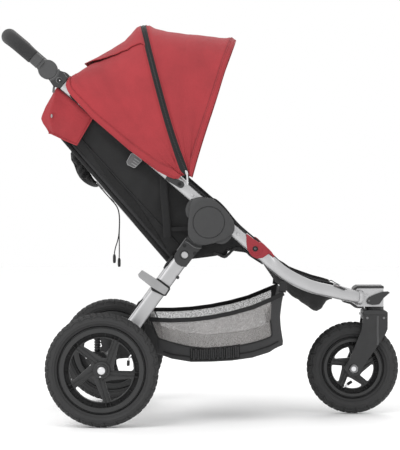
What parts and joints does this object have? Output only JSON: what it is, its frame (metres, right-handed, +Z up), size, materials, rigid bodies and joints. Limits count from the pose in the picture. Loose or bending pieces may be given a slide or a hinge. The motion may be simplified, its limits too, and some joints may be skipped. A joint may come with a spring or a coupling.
{
  "type": "stroller",
  "caption": "Three-wheel all-terrain stroller with air tyres, a folding frame, a tilting handle, a sun hood, a reclining seat, a basket and a sprung rear axle.",
  "frame": {"origin": "on the ground under the middle of the stroller's overall box", "axes": "+X forwards to the front wheel, +Y to the rider's left, +Z up"},
  "size_m": [1.0604, 0.625, 1.0526],
  "materials": {
    "silver_tube": "satin silver",
    "silver_casting": "satin silver",
    "black_plastic": "moulded, satin",
    "dark_plastic": "moulded, satin",
    "grey_plastic": "moulded, satin",
    "red_plastic": "moulded, satin",
    "wheel_plastic": "moulded, satin",
    "tyre_rubber": "matt rubber",
    "grip_foam": "matt closed-cell foam",
    "red_fabric": "plain weave",
    "black_fabric": "plain weave",
    "mesh_fabric": "open mesh",
    "webbing": "woven webbing",
    "bright_steel": "bright plated",
    "dark_steel": "black coated"
  },
  "bodies": {
    "front_chassis": {"front_tube_right": "silver_tube", "front_tube_left": "silver_tube", "hub_cover_right": "black_plastic", "hub_cover_left": "black_plastic", "joint_collar_right": "red_plastic", "joint_collar_left": "red_plastic", "front_housing": "silver_casting", "housing_cover": "dark_plastic", "seat_base": "black_fabric", "footrest_sling": "black_fabric", "basket": "mesh_fabric"},
    "swivel_lever": {"swivel_lock_lever": "dark_plastic"},
    "fork": {"front_fork": "black_plastic", "swivel_stem": "dark_plastic", "front_axle": "bright_steel"},
    "front_wheel": {"front_rim": "wheel_plastic", "front_tyre": "tyre_rubber"},
    "upper_chassis": {"upper_tube_right": "silver_tube", "upper_tube_left": "silver_tube", "hub_disc_right": "black_plastic", "hub_disc_left": "black_plastic", "handle_bracket_right": "dark_plastic", "handle_bracket_left": "dark_plastic", "hood_mount_right": "dark_plastic", "hood_mount_left": "dark_plastic", "hood_rear_panel": "red_fabric", "back_drape": "red_fabric"},
    "handle": {"handle_knuckle_right": "black_plastic", "handle_knuckle_left": "black_plastic", "handle_bar": "dark_steel", "handle_grip": "grip_foam"},
    "hood_front": {"hood_front_bow": "dark_plastic", "hood_front_panel": "red_fabric"},
    "hood_middle": {"hood_middle_bow": "dark_plastic"},
    "backrest": {"seat_back": "black_fabric", "recline_strap": "webbing", "recline_cord_right": "webbing", "recline_cord_left": "webbing", "cord_end_right": "dark_plastic", "cord_end_left": "dark_plastic"},
    "rear_legs": {"leg_bracket_right": "dark_plastic", "leg_bracket_left": "dark_plastic", "rear_leg_right": "silver_tube", "rear_leg_left": "silver_tube", "suspension_housing_right": "dark_plastic", "suspension_housing_left": "dark_plastic", "suspension_spring_right": "dark_steel", "suspension_spring_left": "dark_steel"},
    "button_right": {"leg_button_right": "bright_steel"},
    "button_left": {"leg_button_left": "bright_steel"},
    "latch": {"storage_latch": "grey_plastic"},
    "rear_axle": {"swing_arm_right": "dark_plastic", "swing_arm_left": "dark_plastic", "rear_axle_tube": "dark_steel", "rear_axle_rod": "bright_steel"},
    "brake": {"brake_pedal": "red_plastic"},
    "rear_wheel_right": {"rear_rim_right": "wheel_plastic", "rear_tyre_right": "tyre_rubber"},
    "rear_wheel_left": {"rear_rim_left": "wheel_plastic", "rear_tyre_left": "tyre_rubber"}
  },
  "joints": [
    {"name": "chassis_fold", "type": "hinge", "parent": "front_chassis", "child": "upper_chassis", "pos_m": [0.0114, 0, 0.5263], "axis": [0, -1, 0], "range_deg": [0, 149], "deforming": ["seat_base", "footrest_sling", "basket", "seat_back", "back_drape", "hood_rear_panel", "hood_front_panel", "recline_strap", "recline_cord_right", "recline_cord_left"]},
    {"name": "leg_fold", "type": "hinge", "parent": "front_chassis", "child": "rear_legs", "pos_m": [0.0114, 0, 0.5263], "axis": [0, -1, 0], "range_deg": [0, 64], "deforming": ["basket", "seat_base"]},
    {"name": "swivel", "type": "hinge", "parent": "front_chassis", "child": "fork", "pos_m": [0.4634, 0, 0.2818], "axis": [0, 0, 1], "continuous": true},
    {"name": "front_wheel_spin", "type": "hinge", "parent": "fork", "child": "front_wheel", "pos_m": [0.4045, 0, 0.1255], "axis": [0, 1, 0], "continuous": true},
    {"name": "swivel_lever_turn", "type": "hinge", "parent": "front_chassis", "child": "swivel_lever", "pos_m": [0.447, -0.0375, 0.309], "axis": [0, -1, 0], "range_deg": [0, 12]},
    {"name": "handle_tilt", "type": "hinge", "parent": "upper_chassis", "child": "handle", "pos_m": [-0.404, 0, 0.9204], "axis": [0, -1, 0], "range_deg": [-40, 50]},
    {"name": "hood_fold", "type": "hinge", "parent": "upper_chassis", "child": "hood_front", "pos_m": [-0.0611, 0, 0.6302], "axis": [0, -1, 0], "range_deg": [0, 50], "deforming": ["hood_front_panel", "hood_rear_panel"]},
    {"name": "hood_middle_fold", "type": "hinge", "parent": "upper_chassis", "child": "hood_middle", "pos_m": [-0.0611, 0, 0.6302], "axis": [0, -1, 0], "range_deg": [0, 25], "deforming": ["hood_front_panel", "hood_rear_panel"]},
    {"name": "backrest_recline", "type": "hinge", "parent": "upper_chassis", "child": "backrest", "pos_m": [-0.075, 0, 0.432], "axis": [0, 1, 0], "range_deg": [-22, 18], "deforming": ["seat_back", "seat_base", "back_drape", "recline_strap", "recline_cord_right", "recline_cord_left"]},
    {"name": "suspension", "type": "hinge", "parent": "rear_legs", "child": "rear_axle", "pos_m": [-0.205, 0, 0.16], "axis": [0, 1, 0], "range_deg": [-3, 5], "stiffness_Nm_per_rad": 300, "deforming": ["suspension_spring_right", "suspension_spring_left"]},
    {"name": "rear_wheel_spin_right", "type": "hinge", "parent": "rear_axle", "child": "rear_wheel_right", "pos_m": [-0.2635, -0.2895, 0.1475], "axis": [0, 1, 0], "continuous": true},
    {"name": "rear_wheel_spin_left", "type": "hinge", "parent": "rear_axle", "child": "rear_wheel_left", "pos_m": [-0.2635, 0.2895, 0.1475], "axis": [0, 1, 0], "continuous": true},
    {"name": "brake_press", "type": "hinge", "parent": "rear_axle", "child": "brake", "pos_m": [-0.2635, 0, 0.1475], "axis": [0, -1, 0], "range_deg": [0, 22]},
    {"name": "latch_turn", "type": "hinge", "parent": "rear_legs", "child": "latch", "pos_m": [-0.1022, -0.2322, 0.3493], "axis": [0, 1, 0], "range_deg": [-20, 30]},
    {"name": "button_press_right", "type": "slide", "parent": "rear_legs", "child": "button_right", "axis": [0, 1, 0], "range_m": [0, 0.003], "stiffness_N_per_m": 600},
    {"name": "button_press_left", "type": "slide", "parent": "rear_legs", "child": "button_left", "axis": [0, -1, 0], "range_m": [0, 0.003], "stiffness_N_per_m": 600}
  ],
  "couplings": [
    {"joint": "leg_fold", "follows": "chassis_fold", "ratio": 0.4295},
    {"joint": "hood_middle_fold", "follows": "hood_fold", "ratio": 0.5}
  ]
}
